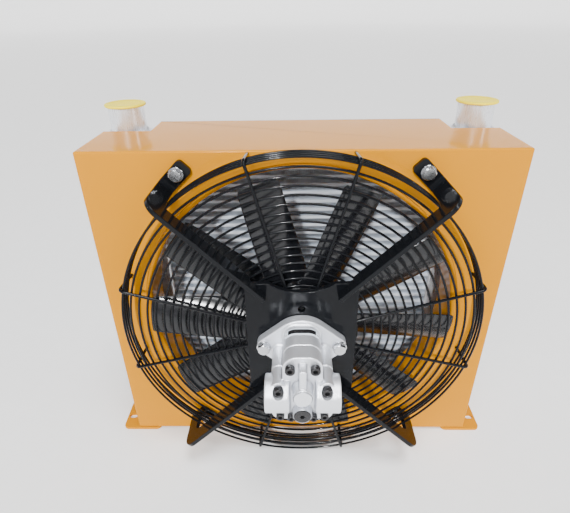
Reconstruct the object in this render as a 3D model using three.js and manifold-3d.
// Hydraulic oil cooler with a hydraulic-motor fan, in millimetres, +Z up.
// Inside the cooler group, y = 0 is the cowl's front face, z = 0 is the cowl's bottom
// and the motor points towards -y. The exported group stands on its foot rails, with its
// origin below the middle of its bounding box.

import * as THREE from 'three';
import { mergeVertices } from 'three/addons/utils/BufferGeometryUtils.js';
import Module from 'manifold-3d';

const wasm = await Module();
wasm.setup();

// ---------------------------------------------------------------- driving dimensions

const GAP = 0.3;                 // clearance between pieces that touch

const COWL_WIDTH = 600;
const COWL_HEIGHT = 520;
const COWL_DEPTH = 112;          // depth of the cowl's sides
const COWL_FULL_DEPTH = 176;     // depth of its top and bottom between the tanks
const NOTCH_X = 228;             // the notches for the tanks start here
const SHEET = 3;
const REAR_FLANGE = 24;          // inward flange at the back of each side

const FAN_Z = 262;               // height of the shaft axis above the cowl's bottom
const OPENING_RADIUS = 240;
const THROAT_RADIUS = 232;
const RING_DEPTH = 62;
const OPENING_SIDES = 48;

const FOOT_THICKNESS = 5;
const FOOT_REACH = 29;           // how far a rail stands out beyond the cowl's side
const FOOT_WIDTH = 70;

const TANK_WALL = 4;
const TANK_HEIGHT = 510;
const TUBE_RADIUS = 27;
const TUBE_BORE = 21;
const TUBE_TOP = 551;
const CAP_RADIUS = 31;
const CAP_TOP = 555;
const CAP_PLUG = 14;             // length of the cap's plug inside the tube
const CHANNELS = 35;             // oil channels in the core

const GUARD_RADIUS = 263;
const GUARD_DEPTH = 44;          // front of the basket in front of the cowl
const GUARD_RISE = 7;            // its middle stands this much further forward
const GUARD_PITCH = 12.1;
const FRONT_RINGS = 16;
const SIDE_RINGS = 3;
const SIDE_PITCH = 8;
const RING_WIRE = 4;
const SPOKE_WIRE = 5;
const WELD_BITE = 2;             // depth to which crossing wires are welded into each other
const SPOKE_ANGLE = 15.5;        // degrees from the vertical and horizontal centre lines

const PLATE_FRONT = -66;
const PLATE_THICKNESS = 8;
const PLATE_HALF_WIDTH = 78;
const PLATE_HALF_HEIGHT = 95;
const PILOT_RADIUS = 41.3;

const ARM_FRONT = -84;
const ARM_REAR = -58.5;
const ARM_THICKNESS = 6.5;
const ARM_NEAR = 16.5;           // distance of the arm's near face from the shaft axis
const ARM_INNER = 91;            // inner end, along the arm
const TAB_INNER = 266;           // the bent tab spans these along the arm
const TAB_OUTER = 290;
const TAB_REACH = 63;            // the tab's end, across the arm
const TAB_BOLT = 45;                // its bolt, across and along the arm
const TAB_MIDDLE = 279;
const BEND_RADIUS = 7;

const HOUSING_FRONT = -84;       // seam between mounting flange and gear housing
const COVER_FRONT = -125;        // seam between gear housing and rear cover
const COVER_BACK = -150;         // flat face of the rear cover
const COVER_NOSE = -172;
const FLANGE_BOLT_X = 53.2;      // two-bolt flange, bolts 106.4 apart
const PORT_RADIUS = 25.3;
const PORT_HALF_WIDTH = 49;
const PORT_Z = FAN_Z - 22.5;
const PORT_BORE = 11;

const MODULE_MM = 3;
const TEETH = 12;
const GEAR_WIDTH = 13.6;
const GEAR_CENTRES = MODULE_MM * TEETH;
const IDLER_Z = FAN_Z - GEAR_CENTRES;
const ADDENDUM = 0.8 * MODULE_MM;
const DEDENDUM = 1.05 * MODULE_MM;
const PRESSURE_ANGLE = THREE.MathUtils.degToRad(25);
const BACKLASH = 0.4;
const TIP_RADIUS = GEAR_CENTRES / 2 + ADDENDUM;
const JOURNAL = 9;
const BOSS_FRONT = -50;          // front of the fan hub's boss, behind the motor plate

const HUB_RADIUS = 68;
const HUB_FRONT = -41;
const HUB_MIDDLE = -21;          // the fan turns inside the guard, just in front of the cowl
const HUB_BACK = -1;
const BLADES = 10;
const BLADE_TIP = 228;
const BLADE_PHASE = 3.2;         // degrees below the horizontal of the first blade at rest
const BLADE_ROOT_RADIUS = 8;

// rear cover screws: x, z, head radius
const COVER_SCREWS = [[16, 286, 6.5], [31, 257, 6.5], [29.5, 205, 5.5], [15, 202, 5]];
const SCREW_RADIUS = 3.6;

// ---------------------------------------------------------------- materials

const finish = (color, roughness, metalness) => () =>
  new THREE.MeshStandardMaterial({ color, roughness, metalness });

const orangePaint = finish(0xffac28, 0.35, 0.0);
const blackPaint = finish(0x17191c, 0.3, 0.1);
const blackPlastic = finish(0x1d1f22, 0.5, 0.0);
const castAluminium = finish(0xc9ccd0, 0.45, 0.7);
const weldedAluminium = finish(0xbcbec4, 0.4, 0.8);
const yellowPlastic = finish(0xffe818, 0.4, 0.0);
const zincSteel = finish(0xd3d5d8, 0.3, 0.9);
const blackSteel = finish(0x1b1c1f, 0.4, 0.8);
const groundSteel = finish(0xb0b3b8, 0.25, 1.0);
const bearingMetal = finish(0xa79f8b, 0.4, 0.8);
const sealRubber = finish(0x181818, 0.8, 0.0);

// ---------------------------------------------------------------- solids

function solid(geometry) {
  const bare = geometry.clone();
  for (const name of ['normal', 'uv']) bare.deleteAttribute(name);
  const merged = mergeVertices(bare, 1e-4);
  const triangles = [];
  for (let i = 0; i < merged.index.count; i += 3) {
    const [a, b, c] = [0, 1, 2].map((k) => merged.index.getX(i + k));
    if (a !== b && b !== c && c !== a) triangles.push(a, b, c);
  }
  const vertProperties = Float32Array.from(merged.attributes.position.array);
  const build = (corners) =>
    new wasm.Manifold(new wasm.Mesh({ numProp: 3, vertProperties, triVerts: Uint32Array.from(corners) }));
  const body = build(triangles);
  return body.volume() > 0 ? body : build(triangles.reverse());
}

function geometryOf(body) {
  const mesh = body.getMesh();
  const geometry = new THREE.BufferGeometry();
  geometry.setAttribute('position', new THREE.BufferAttribute(Float32Array.from(mesh.vertProperties), 3));
  geometry.setIndex(Array.from(mesh.triVerts));
  geometry.computeVertexNormals();
  return geometry;
}

const join = (...bodies) => bodies.reduce((whole, body) => whole.add(body));
const cut = (body, ...tools) => tools.reduce((rest, tool) => rest.subtract(tool), body);

function box(low, high) {
  const size = low.map((value, i) => high[i] - value);
  const geometry = new THREE.BoxGeometry(...size);
  return solid(geometry.translate(...low.map((value, i) => value + size[i] / 2)));
}

// Cylinders along y, x and z, given by the two ends and the centre in the other two axes.
function rodY(radius, [y0, y1], x, z, sides = 16) {
  const geometry = new THREE.CylinderGeometry(radius, radius, y1 - y0, sides);
  return solid(geometry.translate(x, (y0 + y1) / 2, z));
}

function rodX(radius, [x0, x1], y, z, sides = 16) {
  const geometry = new THREE.CylinderGeometry(radius, radius, x1 - x0, sides);
  return solid(geometry.rotateZ(-Math.PI / 2).translate((x0 + x1) / 2, y, z));
}

function rodZ(radius, [z0, z1], x, y, sides = 16) {
  const geometry = new THREE.CylinderGeometry(radius, radius, z1 - z0, sides);
  return solid(geometry.rotateX(Math.PI / 2).translate(x, y, (z0 + z1) / 2));
}

// An outline drawn in x and z, with thickness from y0 to y1.
function slabXZ(shape, [y0, y1], curveSegments = 12) {
  const geometry = new THREE.ExtrudeGeometry(shape, { depth: y1 - y0, bevelEnabled: false, curveSegments });
  return solid(geometry.rotateX(Math.PI / 2).translate(0, y1, 0));
}

// An outline drawn in y and z, with thickness from x0 to x1.
function slabYZ(shape, [x0, x1], curveSegments = 12) {
  const geometry = new THREE.ExtrudeGeometry(shape, { depth: x1 - x0, bevelEnabled: false, curveSegments });
  const [xAxis, yAxis, zAxis] = [0, 1, 2].map((i) => new THREE.Vector3().setComponent(i, 1));
  geometry.applyMatrix4(new THREE.Matrix4().makeBasis(yAxis, zAxis, xAxis));
  return solid(geometry.translate(x0, 0, 0));
}

// An outline drawn in x and y, with thickness from z0 to z1.
function slabXY(shape, [z0, z1], curveSegments = 12) {
  const geometry = new THREE.ExtrudeGeometry(shape, { depth: z1 - z0, bevelEnabled: false, curveSegments });
  return solid(geometry.translate(0, 0, z0));
}

// A profile of [radius, y] points turned about the shaft axis.
function turned(profile, sides = 32) {
  const points = profile.map(([radius, y]) => new THREE.Vector2(radius, y));
  return solid(new THREE.LatheGeometry(points, sides).translate(0, 0, FAN_Z));
}

function roundedRect(x0, y0, x1, y1, radius) {
  const shape = new THREE.Shape();
  shape.moveTo(x0 + radius, y0);
  shape.lineTo(x1 - radius, y0);
  shape.absarc(x1 - radius, y0 + radius, radius, -Math.PI / 2, 0);
  shape.lineTo(x1, y1 - radius);
  shape.absarc(x1 - radius, y1 - radius, radius, 0, Math.PI / 2);
  shape.lineTo(x0 + radius, y1);
  shape.absarc(x0 + radius, y1 - radius, radius, Math.PI / 2, Math.PI);
  shape.lineTo(x0, y0 + radius);
  shape.absarc(x0 + radius, y0 + radius, radius, Math.PI, Math.PI * 1.5);
  return shape;
}

function polygon(points) {
  return new THREE.Shape(points.map(([x, y]) => new THREE.Vector2(x, y)));
}

const mirrorX = (body) => body.mirror([1, 0, 0]);
const mirrorZ = (body) => body.mirror([0, 0, 1]);

const cooler = new THREE.Group();
cooler.position.set(0, -(COVER_NOSE + COWL_FULL_DEPTH) / 2, FOOT_THICKNESS);

function addPart(name, body, material) {
  const mesh = new THREE.Mesh(geometryOf(body), material());
  mesh.name = name;
  cooler.add(mesh);
  return mesh;
}

const SIDES = [['left', -1], ['right', 1]];
const ARMS = [['top_left', -1, 1], ['top_right', 1, 1], ['bottom_left', -1, -1], ['bottom_right', 1, -1]];
const TAB_BOLT_X = (TAB_MIDDLE - TAB_BOLT) * Math.SQRT1_2;
const TAB_BOLT_Z = (TAB_MIDDLE + TAB_BOLT) * Math.SQRT1_2;

// ---------------------------------------------------------------- cowl, ring and feet

const CORE_FRONT = COWL_DEPTH + 2;
const CORE_BACK = COWL_FULL_DEPTH - 4;
const BAR_HEIGHT = 12;
const CORE_BOTTOM = SHEET + GAP + BAR_HEIGHT + GAP;
const CORE_TOP = COWL_HEIGHT - CORE_BOTTOM;
const CORE_HALF_WIDTH = NOTCH_X - GAP / 2;
const CORE_BOLT_X = COWL_WIDTH / 2 - SHEET - REAR_FLANGE / 2;
const CORE_BOLT_Z = 60;
const TANK_X = COWL_WIDTH / 2 - 30;   // centre line of each port
const TANK_Y = (COWL_DEPTH + COWL_FULL_DEPTH) / 2;

function cowl() {
  const halfWidth = COWL_WIDTH / 2;
  const outline = polygon([
    [-halfWidth, 0], [halfWidth, 0], [halfWidth, COWL_DEPTH], [NOTCH_X, COWL_DEPTH],
    [NOTCH_X, COWL_FULL_DEPTH], [-NOTCH_X, COWL_FULL_DEPTH], [-NOTCH_X, COWL_DEPTH], [-halfWidth, COWL_DEPTH],
  ]);
  const block = slabXY(outline, [0, COWL_HEIGHT]);
  const inside = halfWidth - SHEET;
  const opening = inside - REAR_FLANGE;
  return cut(
    block,
    box([-inside, SHEET, SHEET], [inside, COWL_DEPTH - SHEET, COWL_HEIGHT - SHEET]),
    box([-opening, SHEET, SHEET], [opening, COWL_FULL_DEPTH + 1, COWL_HEIGHT - SHEET]),
    rodY(OPENING_RADIUS + GAP, [-1, SHEET + 1], 0, FAN_Z, OPENING_SIDES),
    ...ARMS.map(([, sideX, sideZ]) =>
      rodY(5.5, [-1, SHEET + 1], sideX * TAB_BOLT_X, FAN_Z + sideZ * TAB_BOLT_Z, 16)),
    ...SIDES.flatMap(([, side]) => [CORE_BOLT_Z, COWL_HEIGHT - CORE_BOLT_Z].map((z) =>
      rodY(4.6, [COWL_DEPTH - SHEET - 1, COWL_DEPTH + 1], side * CORE_BOLT_X, z, 12))),
  );
}

function fanRing() {
  const back = THROAT_RADIUS + SHEET;
  const profile = [
    [OPENING_RADIUS, -1], [OPENING_RADIUS, 2.5], [back, 9], [back, RING_DEPTH],
    [THROAT_RADIUS, RING_DEPTH], [THROAT_RADIUS, 8], [THROAT_RADIUS + 2, 1.8], [OPENING_RADIUS, -1],
  ];
  return turned(profile, OPENING_SIDES);
}

function foot(side) {
  const outer = COWL_WIDTH / 2 + FOOT_REACH;
  const rail = slabXY(roundedRect(outer - FOOT_WIDTH, -2, outer, COWL_FULL_DEPTH, 8), [-FOOT_THICKNESS, -GAP], 3);
  const slotCentre = outer - 11;
  const slots = [26, 150].map((y) =>
    slabXY(roundedRect(slotCentre - 7.5, y - 5, slotCentre + 7.5, y + 5, 4.9), [-FOOT_THICKNESS - 1, 1], 3));
  const body = cut(rail, ...slots);
  return side < 0 ? mirrorX(body) : body;
}

addPart('cowl', cowl(), orangePaint);
addPart('fan_ring', fanRing(), orangePaint);
for (const [word, side] of SIDES) addPart(`foot_${word}`, foot(side), orangePaint);

// ---------------------------------------------------------------- core, tanks and ports

// The fins sit a little behind the faces of the flat oil channels.
function coreMatrix() {
  const pitch = (CORE_TOP - CORE_BOTTOM) / (CHANNELS - 0.5);
  const finSet = 2;
  const front = [];
  for (let i = 0; i < CHANNELS; i += 1) {
    const z = CORE_BOTTOM + i * pitch;
    front.push([0, z], [0, z + pitch / 2]);
    if (i < CHANNELS - 1) front.push([finSet, z + pitch / 2], [finSet, z + pitch]);
  }
  const back = front.map(([inset, z]) => [CORE_BACK - inset, z]).reverse();
  const outline = polygon([...front.map(([inset, z]) => [CORE_FRONT + inset, z]), ...back]);
  return slabYZ(outline, [-CORE_HALF_WIDTH, CORE_HALF_WIDTH]);
}

function tank(side) {
  const inner = CORE_HALF_WIDTH + GAP;
  const outer = COWL_WIDTH / 2 - 1;
  const front = COWL_DEPTH + GAP;
  const shell = slabXY(roundedRect(inner, front, outer, CORE_BACK + 2, TANK_WALL), [0, TANK_HEIGHT], 3);
  const cavity = box(
    [inner + TANK_WALL, front + TANK_WALL, TANK_WALL],
    [outer - TANK_WALL, CORE_BACK + 2 - TANK_WALL, TANK_HEIGHT - TANK_WALL],
  );
  const mouth = rodZ(TUBE_BORE, [TANK_HEIGHT - TANK_WALL - 1, TANK_HEIGHT + 1], TANK_X, TANK_Y);
  const boltHoles = [CORE_BOLT_Z, COWL_HEIGHT - CORE_BOLT_Z].map((z) =>
    rodY(4.6, [front - 1, front + TANK_WALL + 1], CORE_BOLT_X, z, 12));
  const body = cut(shell, cavity, mouth, ...boltHoles);
  return side < 0 ? mirrorX(body) : body;
}

function portTube() {
  return cut(
    join(
      rodZ(TUBE_RADIUS, [TANK_HEIGHT + GAP, TUBE_TOP], 0, TANK_Y, 24),
      rodZ(TUBE_RADIUS + 2.5, [TANK_HEIGHT + GAP, TANK_HEIGHT + 6], 0, TANK_Y, 24),
    ),
    rodZ(TUBE_BORE, [TANK_HEIGHT - 1, TUBE_TOP + 1], 0, TANK_Y),
  );
}

// A flat disc with a hollow plug, open below, that fits inside the tube.
function portCap() {
  const under = TUBE_TOP + GAP;
  return cut(
    join(
      rodZ(CAP_RADIUS, [under, CAP_TOP], 0, TANK_Y, 24),
      rodZ(TUBE_BORE - GAP, [under - CAP_PLUG, under + 1], 0, TANK_Y),
    ),
    rodZ(TUBE_BORE - 3, [under - CAP_PLUG - 1, under], 0, TANK_Y),
  );
}

const coreBar = (z0) => box(
  [-CORE_HALF_WIDTH, CORE_FRONT, z0],
  [CORE_HALF_WIDTH, CORE_BACK, z0 + BAR_HEIGHT],
);

// Holds a tank from inside the cowl, through the clearance in its rear flange.
function coreBolt(side, z) {
  const x = side * CORE_BOLT_X;
  const flange = COWL_DEPTH - SHEET;
  return join(
    rodY(7.5, [flange - GAP - 5.5, flange - GAP], x, z, 6),
    rodY(4, [flange - GAP - 1, COWL_DEPTH + 14], x, z, 12),
  );
}

addPart('core_matrix', coreMatrix(), weldedAluminium);
addPart('core_bottom_bar', coreBar(SHEET + GAP), weldedAluminium);
addPart('core_top_bar', coreBar(COWL_HEIGHT - SHEET - GAP - BAR_HEIGHT), weldedAluminium);
for (const [word, side] of SIDES) {
  addPart(`core_bolt_${word}_bottom`, coreBolt(side, CORE_BOLT_Z), zincSteel);
  addPart(`core_bolt_${word}_top`, coreBolt(side, COWL_HEIGHT - CORE_BOLT_Z), zincSteel);
  addPart(`core_tank_${word}`, tank(side), weldedAluminium);
  addPart(`port_tube_${word}`, portTube(), weldedAluminium).position.x = side * TANK_X;
  addPart(`port_cap_${word}`, portCap(), yellowPlastic).position.x = side * TANK_X;
}

// ---------------------------------------------------------------- wire guard

const guardY = (radius) => -GUARD_DEPTH - GUARD_RISE * (GUARD_RADIUS - radius) / GUARD_RADIUS;

// A ring of three-sided wire, with one edge towards the viewer.
function wireRing(radius, y) {
  const half = RING_WIRE / 2;
  const sides = radius < 170 ? 16 : radius < GUARD_RADIUS ? 24 : 32;
  const section = [[-half, half], [0, -half], [half, half], [-half, half]];
  return turned(section.map(([r, dy]) => [radius + r, y + dy]), sides);
}

// Each spoke runs outwards over the rings and then bends back to the cowl.
function spoke(angle) {
  const half = SPOKE_WIRE / 2;
  const forward = RING_WIRE / 2 + half - WELD_BITE;
  const inner = GUARD_RADIUS - FRONT_RINGS * GUARD_PITCH - 4;
  const outer = GUARD_RADIUS + forward;
  const innerY = guardY(inner) - forward;
  const outerY = guardY(outer) - forward;
  const outline = polygon([
    [innerY - half, inner], [outerY - half, outer + half], [-GAP, outer + half],
    [-GAP, outer - half], [outerY + half, outer - half], [innerY + half, inner],
  ]);
  return slabYZ(outline, [-half, half]).rotate([0, angle, 0]).translate([0, 0, FAN_Z]);
}

function wireGuard() {
  const wires = [];
  for (let i = 0; i <= FRONT_RINGS; i += 1) {
    const radius = GUARD_RADIUS - i * GUARD_PITCH;
    wires.push(wireRing(radius, guardY(radius)));
  }
  for (let i = 1; i <= SIDE_RINGS; i += 1) wires.push(wireRing(GUARD_RADIUS, -GUARD_DEPTH + i * SIDE_PITCH));
  for (let quarter = 0; quarter < 4; quarter += 1) {
    for (const offset of [-SPOKE_ANGLE, SPOKE_ANGLE]) wires.push(spoke(quarter * 90 + offset));
  }
  return join(...wires);
}

addPart('wire_guard', wireGuard(), blackPaint);

// ---------------------------------------------------------------- motor plate and arms

function motorPlate() {
  const [w, h] = [PLATE_HALF_WIDTH, PLATE_HALF_HEIGHT];
  const chord = 45;
  const sagitta = 14;
  const arcRadius = (chord * chord + sagitta * sagitta) / (2 * sagitta);
  const arcCentre = h - sagitta + arcRadius;
  const span = [PLATE_FRONT, PLATE_FRONT + PLATE_THICKNESS];
  const through = [PLATE_FRONT - 1, PLATE_FRONT + PLATE_THICKNESS + 1];
  return cut(
    box([-w, span[0], FAN_Z - h], [w, span[1], FAN_Z + h]),
    rodY(arcRadius, through, 0, FAN_Z + arcCentre, 64),
    rodY(arcRadius, through, 0, FAN_Z - arcCentre, 64),
    rodY(PILOT_RADIUS + GAP, through, 0, FAN_Z, 32),
    rodY(5, through, 0, FAN_Z + 53, 16),
    ...[-1, 1].map((side) => rodY(5.3, through, side * FLANGE_BOLT_X, FAN_Z, 16)),
  );
}

// The arm is drawn with u along it, y towards the cowl and n across it. It is notched over
// the plate, runs out past the guard, and its leg bends into a flat tab on the cowl.
function arm() {
  const notch = 121;
  const legBack = -GAP - ARM_THICKNESS - BEND_RADIUS;
  const corner = 22;
  const blade = new THREE.Shape();
  blade.moveTo(ARM_INNER, ARM_FRONT);
  blade.lineTo(TAB_OUTER - corner, ARM_FRONT);
  blade.absarc(TAB_OUTER - corner, ARM_FRONT + corner, corner, -Math.PI / 2, 0);
  blade.lineTo(TAB_OUTER, legBack);
  blade.lineTo(TAB_INNER, legBack);
  blade.lineTo(TAB_INNER, ARM_REAR + corner / 2);
  blade.lineTo(TAB_INNER - corner / 2, ARM_REAR);
  blade.lineTo(notch, ARM_REAR);
  blade.lineTo(notch, PLATE_FRONT - GAP);
  blade.lineTo(ARM_INNER, PLATE_FRONT - GAP);
  const web = slabXY(blade, [ARM_NEAR, ARM_NEAR + ARM_THICKNESS], 4);

  const bendCentre = ARM_NEAR + ARM_THICKNESS + BEND_RADIUS;
  const bend = new THREE.Shape();
  bend.moveTo(legBack - 2, ARM_NEAR);
  bend.lineTo(legBack, ARM_NEAR);
  bend.absarc(legBack, bendCentre, BEND_RADIUS + ARM_THICKNESS, -Math.PI / 2, 0);
  bend.lineTo(-GAP, TAB_REACH);
  bend.lineTo(-GAP - ARM_THICKNESS, TAB_REACH);
  bend.lineTo(-GAP - ARM_THICKNESS, bendCentre);
  bend.absarc(legBack, bendCentre, BEND_RADIUS, 0, -Math.PI / 2, true);
  bend.lineTo(legBack - 2, ARM_NEAR + ARM_THICKNESS);
  const tabMask = slabXZ(roundedRect(TAB_INNER, 0, TAB_OUTER, TAB_REACH, 6), [legBack - 3, 1], 4);
  const boltHole = rodY(5.5, [-20, 5], TAB_MIDDLE, TAB_BOLT, 16);
  const tab = cut(slabYZ(bend, [TAB_INNER, TAB_OUTER], 4).intersect(tabMask), boltHole);
  return join(web, tab);
}

// Turns u and n of an arm into x and z, at 45 degrees in the quarter given by the two signs.
function inQuarter(body, sideX, sideZ) {
  const topRight = body.rotate([0, -45, 0]);
  const inX = sideX < 0 ? mirrorX(topRight) : topRight;
  const inZ = sideZ < 0 ? mirrorZ(inX) : inX;
  return inZ.translate([0, 0, FAN_Z]);
}

// Hex bolt with a washer, its head towards the viewer and its seat at y = seat.
function hexBolt(seat, tip, x, z) {
  return join(
    rodY(9.2, [seat - 8.4, seat - 1.8], x, z, 6),
    rodY(10.3, [seat - 2, seat], x, z),
    rodY(4.8, [seat - 3, tip], x, z, 8),
  );
}

addPart('motor_plate', motorPlate(), blackPaint);
for (const [word, sideX, sideZ] of ARMS) {
  const bolt = hexBolt(-2 * GAP - ARM_THICKNESS, 9, TAB_MIDDLE, TAB_BOLT);
  addPart(`arm_${word}`, inQuarter(arm(), sideX, sideZ), blackPaint);
  addPart(`arm_bolt_${word}`, inQuarter(bolt, sideX, sideZ), zincSteel);
}

// ---------------------------------------------------------------- hydraulic motor castings

// Mounting flange: a large middle circle and two small ends, joined by their tangents.
function flangeOutline(middle, end, reach) {
  const tilt = Math.acos((middle - end) / reach);
  const shape = new THREE.Shape();
  shape.absarc(0, FAN_Z, middle, tilt, Math.PI - tilt);
  shape.absarc(-reach, FAN_Z, end, Math.PI - tilt, Math.PI + tilt);
  shape.absarc(0, FAN_Z, middle, Math.PI + tilt, 2 * Math.PI - tilt);
  shape.absarc(reach, FAN_Z, end, -tilt, tilt);
  return shape;
}

const BODY_HALF_WIDTH = 41;
const BODY_BOTTOM = 194;
const ARCH_RADIUS = 26;
const ARCH_TOP = 302;
const COLUMN_RADIUS = 10;
const SCREW_HOLE = 4.2;
const SCREW_TIP = -74;

// The section that all three castings share: an arch over the drive gear, a block around
// both gears and two columns for the middle screws.
function bodySection(span) {
  const [columnX, columnZ] = COVER_SCREWS[1];
  return join(
    slabXZ(roundedRect(-ARCH_RADIUS, PORT_Z, ARCH_RADIUS, ARCH_TOP, ARCH_RADIUS - 0.1), span, 6),
    slabXZ(roundedRect(-BODY_HALF_WIDTH, BODY_BOTTOM, BODY_HALF_WIDTH, FAN_Z - 2, 12), span, 3),
    rodY(COLUMN_RADIUS, span, columnX, columnZ),
    rodY(COLUMN_RADIUS, span, -columnX, columnZ),
  );
}

const bothSides = (list) => list.flatMap(([x, ...rest]) => [[-x, ...rest], [x, ...rest]]);
const screwHoles = (span) => bothSides(COVER_SCREWS).map(([x, z]) => rodY(SCREW_HOLE, span, x, z, 8));
const gearPocket = (radius, span) => join(
  rodY(radius, span, 0, FAN_Z, 24),
  rodY(radius, span, 0, IDLER_Z, 24),
  box([-radius * 0.45, span[0], IDLER_Z], [radius * 0.45, span[1], FAN_Z]),
);

function motorFlange() {
  const back = PLATE_FRONT - GAP;
  return cut(
    join(
      slabXZ(flangeOutline(45, 13.5, FLANGE_BOLT_X - 3.5), [HOUSING_FRONT + 2, back], 8),
      bodySection([HOUSING_FRONT, back - 4]),
      rodY(PILOT_RADIUS, [back - 1, back + 6], 0, FAN_Z, 32),
    ),
    rodY(JOURNAL + 0.5, [HOUSING_FRONT - 1, back], 0, FAN_Z),
    rodY(17, [back - 8, back + 7], 0, FAN_Z),
    ...[-1, 1].map((side) => rodY(5.3, [HOUSING_FRONT, back + 1], side * FLANGE_BOLT_X, FAN_Z, 16)),
    ...screwHoles([HOUSING_FRONT - 1, SCREW_TIP + 1]),
  );
}

function gearHousing() {
  const span = [COVER_FRONT, HOUSING_FRONT - GAP];
  const through = [span[0] - 1, span[1] + 1];
  return cut(bodySection(span), gearPocket(TIP_RADIUS + 0.3, through), ...screwHoles(through));
}

const RIB_HALF = 4.5;
const PLUG_Z = 253;
const RELIEF_Z = 211;
const RELIEF_RADIUS = 11.3;

function rearCover() {
  const front = COVER_FRONT - GAP;
  const portY = front - 21.3;
  const [middleX, middleZ, headRadius] = COVER_SCREWS[1];
  const seat = COVER_BACK - 8;
  const portBoss = (span) => cut(
    rodX(PORT_RADIUS, span, portY, PORT_Z, 24),
    box([-60, front, PORT_Z - 30], [60, front + 10, PORT_Z + 30]),
  );
  const ports = [-1, 1].flatMap((side) => {
    const ends = [side * (PORT_HALF_WIDTH - 28), side * (PORT_HALF_WIDTH + 1)].sort((a, b) => a - b);
    return [
      rodX(PORT_BORE, ends, portY, PORT_Z),
      rodY(4, [portY, front + 1], side * (PORT_HALF_WIDTH - 26), PORT_Z + 3, 12),
    ];
  });
  return cut(
    join(
      bodySection([COVER_BACK, front]),
      portBoss([-PORT_HALF_WIDTH, -17]),
      portBoss([17, PORT_HALF_WIDTH]),
      box([-RIB_HALF, COVER_NOSE + 5, PLUG_Z], [RIB_HALF, COVER_BACK + 1, ARCH_TOP - 8]),
      rodY(12.4, [COVER_NOSE + 2, COVER_BACK + 1], 0, PLUG_Z),
      rodY(12.2, [COVER_BACK - 4, COVER_BACK + 1], 0, RELIEF_Z),
      ...[-1, 1].map((side) => rodY(COLUMN_RADIUS, [seat, COVER_BACK + 1], side * middleX, middleZ)),
    ),
    ...[-1, 1].map((side) => rodY(headRadius + 0.8, [COVER_NOSE - 5, seat], side * middleX, middleZ, 16)),
    rodY(4.2, [COVER_NOSE, COVER_BACK + 6], 0, PLUG_Z, 8),
    rodY(4.2, [COVER_NOSE, COVER_BACK + 6], 0, RELIEF_Z, 8),
    rodY(RELIEF_RADIUS + 0.8, [COVER_NOSE, COVER_BACK - 4], 0, RELIEF_Z),
    ...ports,
    ...screwHoles([COVER_NOSE - 1, front + 1]),
  );
}

function socketScrew(radius, seat, tip, x, z) {
  return cut(
    join(
      rodY(radius, [seat - 8, seat - GAP], x, z, 12),
      rodY(SCREW_RADIUS, [seat - 2, tip], x, z, 8),
    ),
    rodY(radius * 0.55, [seat - 9, seat - 4], x, z, 6),
  );
}

function screwedPlug(radius, [front, seat], z, socket) {
  const plug = join(rodY(radius, [front, seat - GAP], 0, z), rodY(3.8, [seat - 2, COVER_BACK + 5], 0, z, 8));
  return socket ? cut(plug, rodY(socket, [front - 1, front + 5], 0, z, 6)) : plug;
}

addPart('motor_flange', motorFlange(), castAluminium);
addPart('gear_housing', gearHousing(), castAluminium);
addPart('rear_cover', rearCover(), castAluminium);
for (const [word, side] of SIDES) {
  addPart(`motor_bolt_${word}`, hexBolt(HOUSING_FRONT + 2 - GAP, -50, side * FLANGE_BOLT_X, FAN_Z), zincSteel);
}
bothSides(COVER_SCREWS).forEach(([x, z, radius], i) => {
  const seat = i === 2 || i === 3 ? COVER_BACK - 8 : COVER_BACK;
  addPart(`cover_screw_${i + 1}`, socketScrew(radius, seat, SCREW_TIP, x, z), blackSteel);
});
addPart('cover_plug', screwedPlug(11.8, [COVER_NOSE, COVER_NOSE + 2], PLUG_Z, 0), castAluminium);
addPart('relief_plug', screwedPlug(RELIEF_RADIUS, [COVER_BACK - 12, COVER_BACK - 4], RELIEF_Z, 3.5), blackSteel);

// ---------------------------------------------------------------- gears, bearings and seal

const BLOCK = 12.6;                                   // length of each bearing block
const REAR_BLOCK = [COVER_FRONT + GAP, COVER_FRONT + GAP + BLOCK];
const GEARS = [REAR_BLOCK[1] + GAP, REAR_BLOCK[1] + GAP + GEAR_WIDTH];
const FRONT_BLOCK = [GEARS[1] + GAP, HOUSING_FRONT - 2 * GAP];

function gearOutline(z, phase) {
  const pitchRadius = GEAR_CENTRES / 2;
  const baseRadius = pitchRadius * Math.cos(PRESSURE_ANGLE);
  const involute = (angle) => Math.tan(angle) - angle;
  const halfTooth = (radius) => Math.PI / (2 * TEETH) - BACKLASH / (2 * pitchRadius)
    + involute(PRESSURE_ANGLE) - involute(Math.acos(Math.min(1, baseRadius / radius)));
  const flank = [pitchRadius - DEDENDUM, pitchRadius, TIP_RADIUS];
  const points = [];
  for (let tooth = 0; tooth < TEETH; tooth += 1) {
    const middle = phase + tooth * 2 * Math.PI / TEETH;
    const rising = flank.map((radius) => [radius, middle - halfTooth(radius)]);
    const falling = flank.map((radius) => [radius, middle + halfTooth(radius)]).reverse();
    for (const [radius, angle] of [...rising, ...falling]) {
      points.push([radius * Math.cos(angle), z + radius * Math.sin(angle)]);
    }
  }
  return polygon(points);
}

// A tooth of the drive gear points down into a gap of the idler gear.
function driveGear() {
  const taperEnd = HUB_MIDDLE - 1;
  const shaft = turned([
    [0, REAR_BLOCK[0]], [JOURNAL, REAR_BLOCK[0]], [JOURNAL, BOSS_FRONT - 4], [7.2, taperEnd],
    [5.8, taperEnd], [5.8, taperEnd + 14], [0, taperEnd + 14],
  ], 24);
  return join(slabXZ(gearOutline(FAN_Z, -Math.PI / 2), GEARS), shaft);
}

function idlerGear() {
  const gap = Math.PI / 2 + Math.PI / TEETH;
  return join(
    slabXZ(gearOutline(IDLER_Z, gap), GEARS),
    rodY(JOURNAL, [REAR_BLOCK[0], FRONT_BLOCK[1]], 0, IDLER_Z),
  );
}

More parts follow.
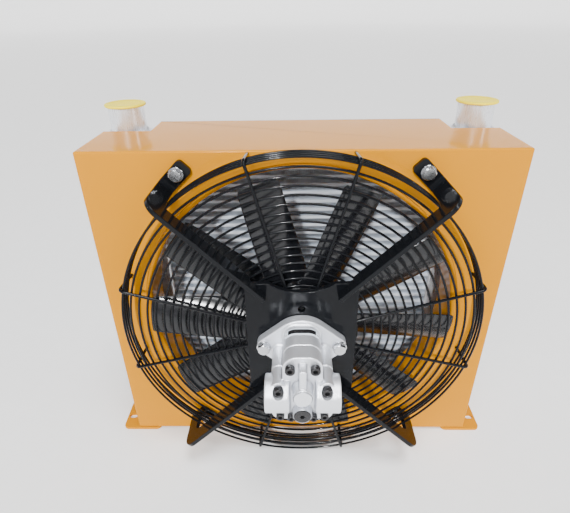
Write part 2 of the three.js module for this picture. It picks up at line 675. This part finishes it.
const bearingBlock = (span) => cut(
  gearPocket(TIP_RADIUS, span),
  ...[FAN_Z, IDLER_Z].map((z) => rodY(JOURNAL + GAP, [span[0] - 1, span[1] + 1], 0, z)),
);

function shaftSeal() {
  const span = [PLATE_FRONT - GAP - 7.7, PLATE_FRONT - GAP - 0.7];
  return cut(rodY(16.7, span, 0, FAN_Z), rodY(JOURNAL + GAP, [span[0] - 1, span[1] + 1], 0, FAN_Z));
}

addPart('drive_gear', driveGear(), groundSteel);
addPart('idler_gear', idlerGear(), groundSteel);
addPart('bearing_block_front', bearingBlock(FRONT_BLOCK), bearingMetal);
addPart('bearing_block_rear', bearingBlock(REAR_BLOCK), bearingMetal);
addPart('shaft_seal', shaftSeal(), sealRubber);

// ---------------------------------------------------------------- fan

const SOCKET_START = 40;

// Round sockets for the blade roots, half in each hub half.
function bladeSockets() {
  return Array.from({ length: BLADES }, (_, i) =>
    rodX(BLADE_ROOT_RADIUS + 0.6, [SOCKET_START, HUB_RADIUS + 2], HUB_MIDDLE, 0, 8)
      .rotate([0, i * 360 / BLADES + BLADE_PHASE, 0]).translate([0, 0, FAN_Z]));
}

function hubFront() {
  const joint = HUB_MIDDLE - GAP;
  const profile = [
    [9.5, BOSS_FRONT], [20, BOSS_FRONT], [23, HUB_FRONT - 2], [58, HUB_FRONT], [HUB_RADIUS, HUB_FRONT + 8],
    [HUB_RADIUS, joint], [7.6, joint], [9.5, BOSS_FRONT],
  ];
  return cut(turned(profile, 30), ...bladeSockets());
}

function hubBack() {
  const profile = [
    [14.5, HUB_MIDDLE], [HUB_RADIUS, HUB_MIDDLE], [HUB_RADIUS, HUB_BACK - 8], [58, HUB_BACK],
    [24, HUB_BACK - 4], [14.5, HUB_BACK - 4], [14.5, HUB_MIDDLE],
  ];
  return cut(turned(profile, 30), ...bladeSockets());
}

const shaftNut = () => cut(
  rodY(11, [HUB_MIDDLE, HUB_MIDDLE + 10], 0, FAN_Z, 6),
  rodY(6.2, [HUB_MIDDLE - 1, HUB_MIDDLE + 11], 0, FAN_Z, 24),
);

// A thin box bent into the blade: s runs along the chord, t through the thickness and
// w from root to tip. The blade is wrapped around the shaft axis, twisted and cambered,
// with its hollow side towards the core.
function blade() {
  const geometry = new THREE.BoxGeometry(1, 1, 1, 3, 1, 4);
  const position = geometry.attributes.position;
  const { lerp, degToRad } = THREE.MathUtils;
  for (let i = 0; i < position.count; i += 1) {
    const [s, t, w] = [position.getX(i), position.getY(i), position.getZ(i) + 0.5];
    const radius = lerp(HUB_RADIUS + 1.5, BLADE_TIP, w);
    const chord = lerp(70, 58, w);
    const pitch = degToRad(lerp(30, 14, w));
    const camber = -0.06 * chord * (1 - 4 * s * s);
    const thickness = lerp(7, 3, w) * (1 - 1.6 * s * s);
    const [along, across] = [s * chord, camber + t * thickness];
    const sideways = (along * Math.cos(pitch) + across * Math.sin(pitch)) / radius;
    const axial = across * Math.cos(pitch) - along * Math.sin(pitch);
    position.setXYZ(i, radius * Math.cos(sideways), HUB_MIDDLE + axial, radius * Math.sin(sideways));
  }
  const root = rodX(BLADE_ROOT_RADIUS, [SOCKET_START + 0.5, HUB_RADIUS + 6], HUB_MIDDLE, 0, 8);
  return join(solid(geometry), root);
}

addPart('fan_hub_front', hubFront(), blackPlastic);
addPart('fan_hub_back', hubBack(), blackPlastic);
addPart('shaft_nut', shaftNut(), zincSteel);
const bladeGeometry = blade();
for (let i = 0; i < BLADES; i += 1) {
  const mesh = addPart(`fan_blade_${i + 1}`, bladeGeometry, blackPlastic);
  mesh.position.z = FAN_Z;
  mesh.rotation.y = i * 2 * Math.PI / BLADES + THREE.MathUtils.degToRad(BLADE_PHASE);
}

export default cooler;
